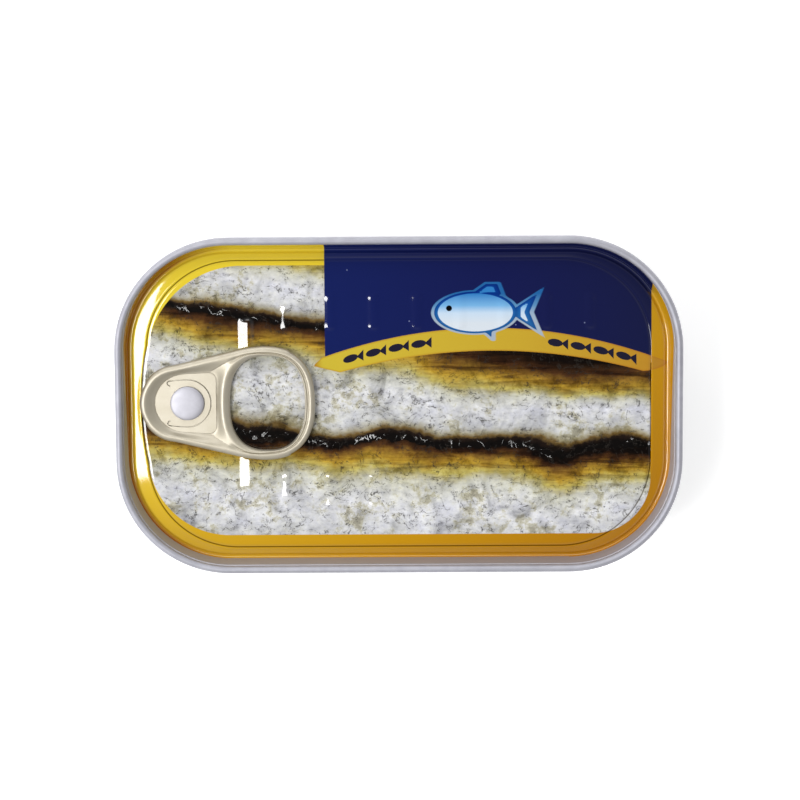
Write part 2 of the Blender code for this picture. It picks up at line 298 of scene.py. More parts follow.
design = {
    "pictureBox": (-46.6, 46.6, -24.5, 25.8),     # left, right, bottom, top
    "pictureCorners": {"upperLeft": 18.0, "lowerLeft": 15.0, "right": 10.5},
    "blue": (-13.6, 46.65),                       # from and to; it reaches up to the print's edge
    "bandTop": (14.05, 16.3, 0.0058),             # crest, where the crest is, and how fast it falls away
    "bandFoot": (9.8, 17.1, 0.0050),
    "bandTips": ((-15.84, 7.13, -0.247, 0.91), (45.48, 5.85, 0.18)),
    "fishBody": (                                 # belly and back heights at x = -46, 0 and 46
        ((20.4, 12.6, 9.8), (33.0, 29.5, 28.0)),
        ((-1.5, -7.4, -8.2), (20.0, 12.2, 9.4)),
        ((-29.0, -33.0, -32.0), (-4.2, -8.5, -10.2)),
    ),
    "blueGap": 1.5,                               # the band covers the blue field's lower edge
    "badge": (16.6, 16.9, 22.0, 11.5),            # middle and size of the fish badge
    "farOutside": -3.0,
}


def through(heights, x):
    # smooth curve through three heights at x = -46, 0 and 46
    left, middle, right = heights
    t = x / 46
    return middle + (right - left) / 2 * t + ((left + right) / 2 - middle) * t * t


def pictureDistance(x, y):
    # how far inside the picture's rounded and bowed outline a point lies
    left, right, bottom, top = design["pictureBox"]
    left -= end["bow"] * max(0, 1 - (y / end["bowHalf"]) ** 2)
    corners = design["pictureCorners"]
    radius = corners["right"] if x > 0 else corners["upperLeft"] if y > 0 else corners["lowerLeft"]
    pastX = max(left - x, x - right) + radius
    pastY = max(bottom - y, y - top) + radius
    return radius - math.hypot(max(pastX, 0), max(pastY, 0)) - min(max(pastX, pastY), 0)


def bandDistance(x, y):
    crest, crestX, fall = design["bandTop"]
    upper = crest - fall * (x - crestX) ** 2 - y
    crest, crestX, fall = design["bandFoot"]
    lower = y - crest + fall * (x - crestX) ** 2
    (tipX, tipY, down, up), (endX, endY, rise) = design["bandTips"]
    leftTip = min(y - tipY - down * (x - tipX), tipY + up * (x - tipX) - y)
    rightTip = y - endY - rise * (x - endX)
    return min(upper, lower, leftTip, rightTip)


def blueDistance(x, y):
    crest, crestX, fall = design["bandTop"]
    left, right = design["blue"]
    return min(x - left, right - x, y - crest + fall * (x - crestX) ** 2 + design["blueGap"])


def badgeDistance(x, y):
    # a plain fish seen from the side, nose to the left: body, forked tail and two fins
    middleX, middleY, length, height = design["badge"]
    u = (x - middleX) / length * 2
    v = (y - middleY) / height * 2
    if abs(u) > 1.4 or abs(v) > 1.6:
        return design["farOutside"]
    body = 1 - math.sqrt(((u + 0.22) / 0.74) ** 2 + (v / 0.72) ** 2)
    tail = min(u - 0.38, 0.98 - u - 0.22 * (1 - abs(v)), 0.15 + (u - 0.4) * 1.25 - abs(v))
    fin = min(v - 0.5, 0.98 - v, 0.3 - u - (v - 0.5) * 0.2, u + 0.42 - (v - 0.5) * 0.75)
    lowFin = min(-0.5 - v, v + 0.92, 0.12 - u, u + 0.2 + (v + 0.5) * 0.6)
    return max(body * 0.8, tail * 0.75, fin * 0.8, lowFin * 0.8) * height / 2


def fieldRule(x, y):
    return pictureDistance(x, y), blueDistance(x, y), bandDistance(x, y)


def fishRule(x, y):
    # how far up each fish's side a point lies, 0 at the belly and 1 at the back
    shares = []
    for belly, back in design["fishBody"]:
        low = through(belly, x)
        shares.append((y - low) / (through(back, x) - low))
    return shares


def badgeRule(x, y):
    middleX, middleY, length, height = design["badge"]
    return badgeDistance(x, y), (x - middleX) / length * 2, (y - middleY) / height * 2


printRules = (("printFields", fieldRule), ("fishShares", fishRule), ("badgeField", badgeRule))


def buildPanel(material):
    # printed part of the end: chuck wall, groove, slope, score line and panel, on a flat underside
    bm = bmesh.new()
    scored = bm.verts.layers.float.new("scored")
    bare = bm.verts.layers.float.new("bareWall")
    fromSeam = bm.verts.layers.float.new("fromSeam")
    fields = [(bm.verts.layers.float_vector.new(name), rule) for name, rule in printRules]
    inset = wallInset(end["wallTop"])
    face = outlineFace(bm, inset, end["wallTop"])
    lower = flippedCopy(bm, face)
    outer = wallInset(end["plateTop"]) - end["hiddenGap"]
    sweepIn(bm, lower, [(outer, end["plateTop"], 0, 0), (outer, end["plateBottom"], 0, 0)], inset)
    steps = [(wallInset(height), height, 0, 0) for height in (27.6, 27.0, 26.4, 25.8, 25.4, 25.15)]
    steps += arcSteps(end["wallFoot"] + end["grooveRound"], end["grooveFloor"] + end["grooveRound"],
                      end["grooveRound"], 0, -90, 6)
    steps.append((end["grooveEnd"], end["grooveFloor"], 0, 0))
    kerbWidth, kerbRise = end["kerb"]
    for share in (0.2, 0.4, 0.6, 0.8, 1.0):
        steps.append((end["grooveEnd"] + kerbWidth * share,
                      end["grooveFloor"] + kerbRise * smoothStep(-0.1, 1.05, share), 0, 0))
    slopeStart = end["grooveEnd"] + kerbWidth
    half = end["scoreWidth"] / 2
    slopeEnd = end["scoreInset"] - half
    lowHeight = end["grooveFloor"] + kerbRise
    count = end["slopeSteps"]
    for number in range(1, count + 1):
        share = number / count
        lift = share - end["slopeSag"] * math.sin(math.pi * share)
        steps.append((slopeStart + (slopeEnd - slopeStart) * share,
                      lowHeight + (end["panel"] - lowHeight) * lift,
                      end["endShift"] / count, end["bow"] / count))
    inset = sweepIn(bm, face, steps, inset)
    scoreSteps = [(side * half, -end["scoreDepth"], 1.0) for side in (-0.4, 0.4)] + [(half, 0.0, 0.0)]
    scoreSteps += [(offset, rise, 0.0) for offset, rise in end["scoreBank"]]
    for offset, rise, mark in scoreSteps:
        inset = sweepIn(bm, face, [(end["scoreInset"] + offset, end["panel"] + rise, 0, 0)], inset)
        for vert in face.verts:
            vert[scored] = mark
    bmesh.ops.remove_doubles(bm, verts=bm.verts[:], dist=tin["weld"])

    # the flat middle is cut into small cells, so that ribs and print have points to follow
    inner = [part for part in bm.faces if len(part.verts) > 8 and part.normal.z > 0.5][0]
    outlineVerts = set(inner.verts)
    waiting = [inner]
    atPanel = 1e-4
    for axis in (0, 1):
        low = min(vert.co[axis] for vert in outlineVerts)
        high = max(vert.co[axis] for vert in outlineVerts)
        cells = int((high - low) / relief["cell"][axis])
        normal = (1, 0, 0) if axis == 0 else (0, 1, 0)
        for number in range(1, cells):
            place = low + (high - low) * number / cells
            geom = set(waiting)
            for part in waiting:
                geom.update(part.edges)
                geom.update(part.verts)
            point = (place, 0, 0) if axis == 0 else (0, place, 0)
            done = bmesh.ops.bisect_plane(bm, geom=list(geom), dist=1e-5, plane_co=point, plane_no=normal)
            waiting = [part for part in done["geom"] if isinstance(part, bmesh.types.BMFace)
                       and part.calc_center_median()[axis] > place]
        waiting = [part for part in bm.faces if part.normal.z > 0.99
                   and all(abs(vert.co.z - end["panel"]) < atPanel for vert in part.verts)]
    for vert in bm.verts:
        x, y = vert.co.x, vert.co.y
        if abs(vert.co.z - end["panel"]) < atPanel and vert[scored] == 0:
            vert.co.z += reliefHeight(x, y)
        for layer, rule in fields:
            vert[layer] = rule(x, y)
        vert[bare] = design["farOutside"]
        vert[fromSeam] = seamDistance(x, y)
        if vert[fromSeam] < end["wallFoot"] and vert.co.z > end["wallFootHeight"] - 0.2:
            vert[bare] = vert.co.z - end["printEdge"][0] - end["printEdge"][1] * y
    return finishPiece("printedPanel", bm, material, "printed_end", "easy_open_end")


# Pull tab

tab = {
    "bottom": 25.8,
    "top": 27.2,
    "rollWidth": 0.92,             # from the outline in to the rim's ridge
    "noseX": -41.6, "noseLength": 6.45, "noseWidth": 7.1, "nosePower": 1.9,
    "ringX": -25.2, "ringLength": 9.9, "ringWidth": 10.6, "ringPower": 2.5,
    "holeX": -24.3, "holeLength": 6.9, "holeWidth": 8.7, "holePower": 2.5,
    "shoulder": (3.0, 0.3),        # how far back and how far in the straight flank begins
    "roll": 0.7,                   # radius of the rolled rim
    "steps": 72,                   # stations along each part of the outline
    "across": 44,                  # rows between the rim and the finger hole
    "islandX": (-45.1, -33.7), "islandHalf": (5.2, 5.75), "islandCorner": 1.4,
    "islandHeight": 26.25,
    "middleY": 0.45,               # the tab and its rivet sit a little off the tin's middle line
    "islandSink": 0.3,
    "holeRoll": (0.32, 1.45),      # width of the curl round the hole, at its far side and beside the rivet
    "groove": 0.24,                # depth of the groove between the two curls of the ring
    "notchX": (-19.9, -46.6),      # the rim's curl stands back beyond these, at the ring and at the nose
    "notchStep": (0.18, 0.126),    # by this much
    "islandFlat": 0.3,             # width of the rounded step down to the sunk island
    "narrow": (0.9, 2.2),          # the ring is grooved where rim and curl lie this close together
    "curlFoot": 0.35,              # how far above the underside the curl round the hole ends
    "hollow": 0.2,                 # depth of the hollow underside
}


def ovalPoint(centreX, length, width, power, angle):
    along, across = math.cos(angle), math.sin(angle)
    return Vector((centreX + length * math.copysign(abs(along) ** (2 / power), along),
                   width * math.copysign(abs(across) ** (2 / power), across), 0))


def tabOutline():
    # the rim's outline from the ring's far side round to the nose, then back along the other flank
    steps = tab["steps"]
    upper = []
    for number in range(steps + 1):
        angle = math.pi / 2 * number / steps
        upper.append(ovalPoint(tab["ringX"], tab["ringLength"], tab["ringWidth"], tab["ringPower"], angle))
    flankStart = Vector((tab["ringX"] - tab["shoulder"][0], tab["ringWidth"] - tab["shoulder"][1], 0))
    flankEnd = Vector((tab["noseX"], tab["noseWidth"], 0))
    flankSteps = steps // 2
    for number in range(flankSteps):
        upper.append(flankStart.lerp(flankEnd, number / flankSteps))
    for number in range(steps + 1):
        angle = math.pi / 2 * (1 + number / steps)
        upper.append(ovalPoint(tab["noseX"], tab["noseLength"], tab["noseWidth"], tab["nosePower"], angle))
    return upper + [Vector((point.x, -point.y, 0)) for point in reversed(upper[1:-1])]


def evenLoop(points, count):
    # the same closed outline with evenly spaced points, softened where its parts meet
    lengths = [0.0]
    for number in range(len(points)):
        lengths.append(lengths[-1] + (points[(number + 1) % len(points)] - points[number]).length)
    loop = []
    part = 0
    for number in range(count):
        want = lengths[-1] * number / count
        while lengths[part + 1] < want:
            part += 1
        share = (want - lengths[part]) / (lengths[part + 1] - lengths[part])
        loop.append(points[part].lerp(points[(part + 1) % len(points)], share))
    for turn in range(6):
        loop = [loop[i] * 0.5 + (loop[i - 1] + loop[(i + 1) % count]) * 0.25 for i in range(count)]
    return loop


def holeRadius(angle):
    # distance from the hole's middle to its edge in a direction
    along = abs(math.cos(angle)) / tab["holeLength"]
    across = abs(math.sin(angle)) / tab["holeWidth"]
    return (along ** tab["holePower"] + across ** tab["holePower"]) ** (-1 / tab["holePower"])


def islandDistance(x, y):
    # distance outside the island's outline, negative inside: round towards the nose, small corners behind
    left, right = tab["islandX"]
    share = min(max((x - left) / (right - left), 0), 1)
    half = tab["islandHalf"][0] + (tab["islandHalf"][1] - tab["islandHalf"][0]) * share
    middle = left + half
    if x < middle:
        return math.hypot(x - middle, y) - half
    pastX = x - (right - tab["islandCorner"])
    pastY = abs(y) - (half - tab["islandCorner"])
    outside = math.hypot(max(pastX, 0), max(pastY, 0))
    return outside + min(max(pastX, pastY), 0) - tab["islandCorner"]


def buildTab(material):
    # one closed shell: rolled rim, pressed middle, curl round the finger hole, and a hollow underside
    count = 4 * tab["steps"]
    loop = evenLoop(tabOutline(), count)
    normals = []
    for number in range(count):
        run = loop[(number + 1) % count] - loop[number - 1]
        normals.append(Vector((-run.y, run.x, 0)).normalized())      # points into the tab
    middle = Vector((tab["holeX"], 0, 0))
    rays = []
    for point in loop:
        away = point - middle
        rays.append(math.atan2(away.y, away.x))
    bottom, top, roll = tab["bottom"], tab["top"], tab["roll"]

    def rimPoint(number, inset, height):
        point = loop[number] + normals[number] * inset
        return Vector((point.x, point.y, height))

    def holePoint(number, outset, height):
        angle = rays[number]
        reach = holeRadius(angle) + outset
        return Vector((middle.x + reach * math.cos(angle), reach * math.sin(angle), height))

    curls = []
    for number in range(count):
        toNose = smoothStep(-0.2, 0.95, -math.cos(rays[number]))
        curls.append(tab["holeRoll"][0] + (tab["holeRoll"][1] - tab["holeRoll"][0]) * toNose)

    def rimStep(number):
        x = loop[number].x
        if x > tab["notchX"][0]:
            return tab["notchStep"][0]
        return tab["notchStep"][1] if x <= tab["notchX"][1] else 0.0

    rings = []
    for step in range(11):                         # rolled rim, from its underside round to the ridge
        angle = math.radians(-90 + 180 * step / 10)
        ring = []
        for number in range(count):
            wide = tab["rollWidth"] if angle > 0 else roll
            inset = rimStep(number) + (wide - rimStep(number)) * (1 - math.cos(angle))
            ring.append(rimPoint(number, inset, (bottom + top) / 2 + roll * math.sin(angle)))
        rings.append(ring)
    across = tab["across"]
    for step in range(1, across):                  # pressed surface between the rim's ridge and the hole's
        share = step / across
        ring = []
        for number in range(count):
            start = rimPoint(number, tab["rollWidth"], top)
            stop = holePoint(number, curls[number], top)
            point = start.lerp(stop, share)
            width = (stop - start).length
            toRidge = min(share * width, (1 - share) * width)
            if step < across / 2:                  # the rim is not square to the ray, so it is measured anew
                nearby = (loop[(number + k) % count] for k in range(-12, 13))
                toRidge = min(toRidge, min((point - rim).xy.length for rim in nearby) - tab["rollWidth"])
            toIsland = islandDistance(point.x, point.y)
            toRidge = max(toRidge, 0.0)
            if toIsland <= 0:
                sunk = smoothStep(0, tab["islandFlat"], -toIsland)
                height = tab["islandHeight"] - tab["islandSink"] * sunk
            else:
                lift = smoothStep(0, 1, toIsland / (toIsland + toRidge + 1e-6))
                height = tab["islandHeight"] + (top - tab["islandHeight"]) * lift
            narrow = 1 - smoothStep(*tab["narrow"], width)
            height -= tab["groove"] * narrow * math.sin(math.pi * share ** 1.6) ** 2
            ring.append(Vector((point.x, point.y, height)))
        rings.append(ring)
    low = bottom + tab["curlFoot"]
    for step in range(9):                          # curl round the finger hole
        angle = math.radians(90 * step / 8)
        back, height = 1 - math.sin(angle), low + (top - low) * math.cos(angle)
        rings.append([holePoint(number, curls[number] * back, height) for number in range(count)])
    rings.append([holePoint(number, 0.12, bottom + 0.1) for number in range(count)])
    rings.append([holePoint(number, 0.35, bottom) for number in range(count)])
    for share, depth in ((0.25, 0.8), (0.5, 1.0), (0.75, 0.8)):
        height = bottom + tab["hollow"] * depth
        rings.append([holePoint(number, 0.35, height).lerp(rimPoint(number, roll, height), share)
                      for number in range(count)])

    bm = bmesh.new()
    station = bm.verts.layers.int.new("station")
    first = [bm.verts.new(point) for point in rings[0]]
    startEdges = [bm.edges.new((first[number], first[(number + 1) % count])) for number in range(count)]
    for number, vert in enumerate(first):
        vert[station] = number
    edges = startEdges
    for ring in rings[1:]:
        made = bmesh.ops.extrude_edge_only(bm, edges=edges)["geom"]
        fresh = [part for part in made if isinstance(part, bmesh.types.BMVert)]
        for vert in fresh:
            vert.co = ring[vert[station]]
        kept = set(fresh)
        edges = [part for part in made if isinstance(part, bmesh.types.BMEdge) and set(part.verts) <= kept]
    bmesh.ops.bridge_loops(bm, edges=edges + startEdges)
    bmesh.ops.translate(bm, verts=bm.verts, vec=(0, tab["middleY"], 0))
    bmesh.ops.recalc_face_normals(bm, faces=bm.faces[:])
    return finishPiece("pullTab", bm, material, "gold_lacquer", "pull_tab")


# Island plate with its lanced tongue, and the rivet

rivet = {
    "x": -39.1,
    "radius": 3.15,
    "low": 26.3,
    "top": 26.95,
    "lanceRadius": 4.4,
    "lanceArm": 3.6,          # how far the slot's arms run towards the nose
    "lanceWidth": 0.17,
    "stem": 2.2,              # radius of the hole in the plate; the rivet's own stem is thinner
    "stemGap": 0.3,
    "edge": 0.12,             # height of the head's edge
    "plateThick": 0.25,
    "plateRound": 0.04,
    "plateRise": 0.03,        # the plate stands this much above the tab's pressed middle
}


def lanceOutline():
    # the C-shaped slot round the rivet, with its arm ends hooked inwards, as a thin closed outline
    radius, arm = rivet["lanceRadius"], rivet["lanceArm"]
    path = [Vector((-arm + 0.45, radius - 1.15)), Vector((-arm + 0.1, radius - 1.0)),
            Vector((-arm - 0.1, radius - 0.6)), Vector((-arm + 0.15, radius - 0.28)),
            Vector((-arm * 0.5, radius - 0.1))]
    for number in range(33):
        angle = math.pi / 2 - math.pi * number / 32
        path.append(Vector((radius * math.cos(angle), radius * math.sin(angle))))
    path += [Vector((point.x, -point.y)) for point in reversed(path[:5])]
    sides = []
    for number, point in enumerate(path):
        run = path[min(number + 1, len(path) - 1)] - path[max(number - 1, 0)]
        normal = Vector((-run.y, run.x)).normalized()
        sides.append((point + normal * rivet["lanceWidth"] / 2, point - normal * rivet["lanceWidth"] / 2))
    return [side[0] for side in sides] + [side[1] for side in reversed(sides)]


def islandOutline():
    # outline of the flat plate, a hair inside the foot of the pressed slope
    points = []
    middleX = (tab["islandX"][0] + tab["islandX"][1]) / 2
    for number in range(120):
        angle = 2 * math.pi * number / 120
        low, high = 0.0, 12.0
        for turn in range(24):                    # finds the outline along a ray
            reach = (low + high) / 2
            inside = islandDistance(middleX + reach * math.cos(angle), reach * math.sin(angle)) < -0.04
            low, high = (reach, high) if inside else (low, reach)
        points.append(Vector((middleX + low * math.cos(angle) - rivet["x"], low * math.sin(angle))))
    return points


def buildIsland(material):
    # flat plate that the rivet holds; the slot goes right through it
    curve = bpy.data.curves.new("islandPlate", "CURVE")
    curve.dimensions = "2D"
    curve.fill_mode = "BOTH"
    thick = rivet["plateThick"]
    rounding = rivet["plateRound"]
    curve.extrude = thick / 2 - rounding
    curve.bevel_depth = rounding
    curve.bevel_resolution = 1
    curve.offset = -rounding
    stem = [Vector((rivet["stem"] * math.cos(math.pi * k / 24), rivet["stem"] * math.sin(math.pi * k / 24)))
            for k in range(48)]
    for outline in (islandOutline(), lanceOutline(), stem):
        spline = curve.splines.new("POLY")
        spline.points.add(len(outline) - 1)
        for point, place in zip(spline.points, outline):
            point.co = (place.x, place.y, 0, 1)
        spline.use_cyclic_u = True
    flat = bpy.data.objects.new("islandOutline", curve)
    bpy.context.scene.collection.objects.link(flat)
    mesh = bpy.data.meshes.new_from_object(flat.evaluated_get(bpy.context.evaluated_depsgraph_get()))
    bm = bmesh.new()
    bm.from_mesh(mesh)
    bpy.data.objects.remove(flat, do_unlink=True)
    bmesh.ops.remove_doubles(bm, verts=bm.verts[:], dist=tin["weld"])
    height = tab["islandHeight"] + rivet["plateRise"] - thick / 2
    bmesh.ops.translate(bm, verts=bm.verts, vec=(rivet["x"], tab["middleY"], height))
    bmesh.ops.recalc_face_normals(bm, faces=bm.faces[:])
    piece = finishPiece("tabIsland", bm, material, "gold_lacquer", "pull_tab")
    piece.data.set_sharp_from_angle(angle=math.radians(18))
    return piece


def buildRivet(material):
    # low domed head on its stem, turned from half its profile
    bm = bmesh.new()
    low, edge = rivet["low"], rivet["low"] + rivet["edge"]
    stem = rivet["stem"] - rivet["stemGap"]
    profile = [(0, rivet["top"])]
    for number in range(1, 19):
        angle = math.pi / 2 * number / 18
        profile.append((rivet["radius"] * math.sin(angle) ** 0.8,
                        edge + (rivet["top"] - edge) * math.cos(angle) ** 0.42))
    profile += [(rivet["radius"] - 0.08, low), (stem, low), (stem, end["panel"]), (0, end["panel"])]
    verts = [bm.verts.new((radius, 0, height)) for radius, height in profile]
    edges = [bm.edges.new(pair) for pair in zip(verts, verts[1:])]
    bmesh.ops.spin(bm, geom=verts + edges, axis=(0, 0, 1), cent=(0, 0, 0), angle=2 * math.pi, steps=64,
                   use_merge=True)
    bmesh.ops.remove_doubles(bm, verts=bm.verts[:], dist=tin["weld"])
    bmesh.ops.recalc_face_normals(bm, faces=bm.faces[:])
    bmesh.ops.translate(bm, verts=bm.verts, vec=(rivet["x"], tab["middleY"], 0))
    return finishPiece("rivetHead", bm, material, "lacquered_aluminium", "easy_open_end")


# Drawn body

body = {
    "inset": 1.1,
    "rimHeight": 26.15,
    "taper": 1.6,
    "baseRound": 3.8,
    "footWidth": 3.0,
    "recess": 0.7,
    "rimWall": (0.25, 0.35, 23.3),   # insets of the mouth's inner edge and foot, and the foot's height
    "stepWidth": 1.6,                # S-shaped step from the foot up to the base
    "ring": (3.4, 1.8, 0.35),        # ring that stiffens the base: how far inside the foot, width and depth
}


def buildBody(material):
    # tapered wall, rounded base edge, flat foot, and a recessed base with a shallow ring
    bm = bmesh.new()
    face = outlineFace(bm, body["inset"], body["rimHeight"])
    lower = flippedCopy(bm, face)
    inset, rimHeight = body["inset"], body["rimHeight"]
    mouthEdge, mouthFoot, footHeight = body["rimWall"]
    sweepIn(bm, face, [(inset + mouthEdge, rimHeight, 0, 0), (inset + mouthFoot, footHeight, 0, 0)], inset)
    edge = inset + body["taper"] + body["baseRound"]
    steps = []
    for share in (0.08, 0.3, 0.6, 0.85):
        steps.append((inset + body["taper"] * share,
                      rimHeight + (body["baseRound"] - rimHeight) * share, 0, 0))
    steps += arcSteps(edge, body["baseRound"], body["baseRound"], 0, -90, 14)
    foot = edge + body["footWidth"]
    stepStart = foot - 0.3
    steps.append((stepStart, 0, 0, 0))
    shares = [number / 8 for number in range(1, 9)]
    for share in shares:
        steps.append((stepStart + body["stepWidth"] * share, body["recess"] * smoothStep(0, 1, share), 0, 0))
    away, width, depth = body["ring"]
    steps.append((foot + away, body["recess"], 0, 0))
    for share in shares:
        steps.append((foot + away + width * share,
                      body["recess"] - depth * math.sin(math.pi * share) ** 2, 0, 0))
    sweepIn(bm, lower, steps, inset)
    bmesh.ops.remove_doubles(bm, verts=bm.verts[:], dist=tin["weld"])
    return finishPiece("tinBody", bm, material, "lacquered_aluminium", "tin_body")


# Materials

blend = {"out": 2, "data_type": "RGBA"}              # settings of a Mix node for colours
multiply = {**blend, "blend_type": "MULTIPLY"}


def makeAluminium(name, tint, roughness, streak, metallic=0.75):
    # drawn aluminium sheet under a thin clear lacquer: satin, with faint drawing lines and small scuffs
    material, add, shader, inMm = newMaterial(name)
    stretched = add("Mapping", {"Vector": inMm, "Scale": streak})
    lines = add("TexNoise", {"Vector": stretched, "Scale": 1.0, "Detail": 5.0, "Roughness": 0.6})
    cloud = add("TexNoise", {"Vector": inMm, "Scale": 0.12, "Detail": 3.0})
    toneLines = add("ValToRGB", {"Fac": lines}, stops=((0.3, tint[0]), (0.7, tint[1])))
    toneCloud = add("ValToRGB", {"Fac": cloud}, stops=((0.35, 0.93), (0.65, 1.0)))
    tone = add("Mix", {0: 1.0, 6: toneLines, 7: toneCloud}, **multiply)
    scuffs = add("TexNoise", {"Vector": inMm, "Scale": 0.7, "Detail": 6.0, "Roughness": 0.7})
    rough = add("MapRange", {"Value": scuffs, "From Min": 0.3, "From Max": 0.75,
                             "To Min": roughness[0], "To Max": roughness[1]})
    bump = add("Bump", {"Height": lines, "Strength": 0.12, "Distance": 0.00005})
    setInputs(shader, {"Base Color": tone, "Metallic": metallic, "Roughness": rough, "Normal": bump})
    return material


def makeGoldLacquer():
    # stamped aluminium under a pale gold lacquer: satin, a little uneven where the lacquer is thicker
    material, add, shader, inMm = newMaterial("paleGoldLacquer")
    cloud = add("TexNoise", {"Vector": inMm, "Scale": 0.35, "Detail": 3.0})
    grain = add("TexNoise", {"Vector": inMm, "Scale": 6.0, "Detail": 2.0})
    tone = add("ValToRGB", {"Fac": cloud}, stops=((0.3, "B1A996"), (0.7, "BAB3A2")))
    rough = add("MapRange", {"Value": grain, "From Min": 0.3, "From Max": 0.7,
                             "To Min": 0.5, "To Max": 0.57})
    bump = add("Bump", {"Height": grain, "Strength": 0.1, "Distance": 0.00004})
    setInputs(shader, {"Base Color": tone, "Metallic": 0.85, "Roughness": rough, "Normal": bump})
    # the lacquer's own soft white sheen
    setInputs(shader, {"Coat Weight": 0.7, "Coat Roughness": 0.3, "Coat IOR": 1.6})
    return material


inks = {
    "yellow": ((0.0, "D6C034"), (0.25, "D2B72E"), (0.5, "BD951E"), (0.7, "B78610"), (1.0, "A0660C")),
    "yellowPaintedShade": (0.0052, -0.0078, 0),     # painted light and shade: brighter lemon at the upper left, darker and warmer towards the lower right, away from the light
    # painted shade: dark brown-orange in the groove under the seam wall at the left end
    "leftGrooveShade": "88440A",
    "band": ((0.0, "A2701A"), (0.03, "BEA934"), (0.6, "B8982C"), (1.0, "AC7C26")),
    "bandEdge": "A05A18",
    "bandFish": "1C1A2C",
    "blue": ((0.0, "101C54"), (0.55, "101648"), (1.0, "13173C")),
    "dust": "9AA4C8",
    "skin": (                                # from the dark oil over the silver flank to the golden back
        (0.0, "0A0706"), (0.035, "1E140E"), (0.07, "6B5630"), (0.11, "9C9680"), (0.18, "C0C1C0"),
        (0.42, "D0D1D4"), (0.58, "C0C0B2"), (0.67, "B6AC68"), (0.77, "B0943C"), (0.86, "846630"),
        (0.93, "4A301E"), (1.0, "120A08")),
    "sheen": ((0.3, 0.5), (0.42, 0.84), (0.52, 1.0), (0.66, 1.14)),
    "fleck": ((0.33, 0.3), (0.38, 0.78), (0.46, 0.97), (0.64, 1.12)),
    "stain": ((0.36, "958A58"), (0.42, "D4CDA8"), (0.47, "FFFFFF"), (0.66, "E4E6F8")),
    "fibres": ((0.36, "7A6240"), (0.48, "D8C8A0"), (0.6, "FFF6CC")),
    "wrinkle": "2E2A26",
    "oilGlint": "C8C8C8",
    "badgeRim": ((0.0, "C4CCD4"), (0.12, "C4CCD4"), (0.14, "1E5C9C"), (0.28, "2F78B8"),
                 (0.3, "FFFFFF"), (1.0, "FFFFFF")),
    "badgeSide": ((0.0, "C8D0D8"), (0.35, "B9CCDE"), (0.6, "6FA6D2"), (1.0, "2C74B4")),
    "scoreShade": (0.3, 0.28, 0.25, 1),
    "bareMetal": "ACABB2",
}


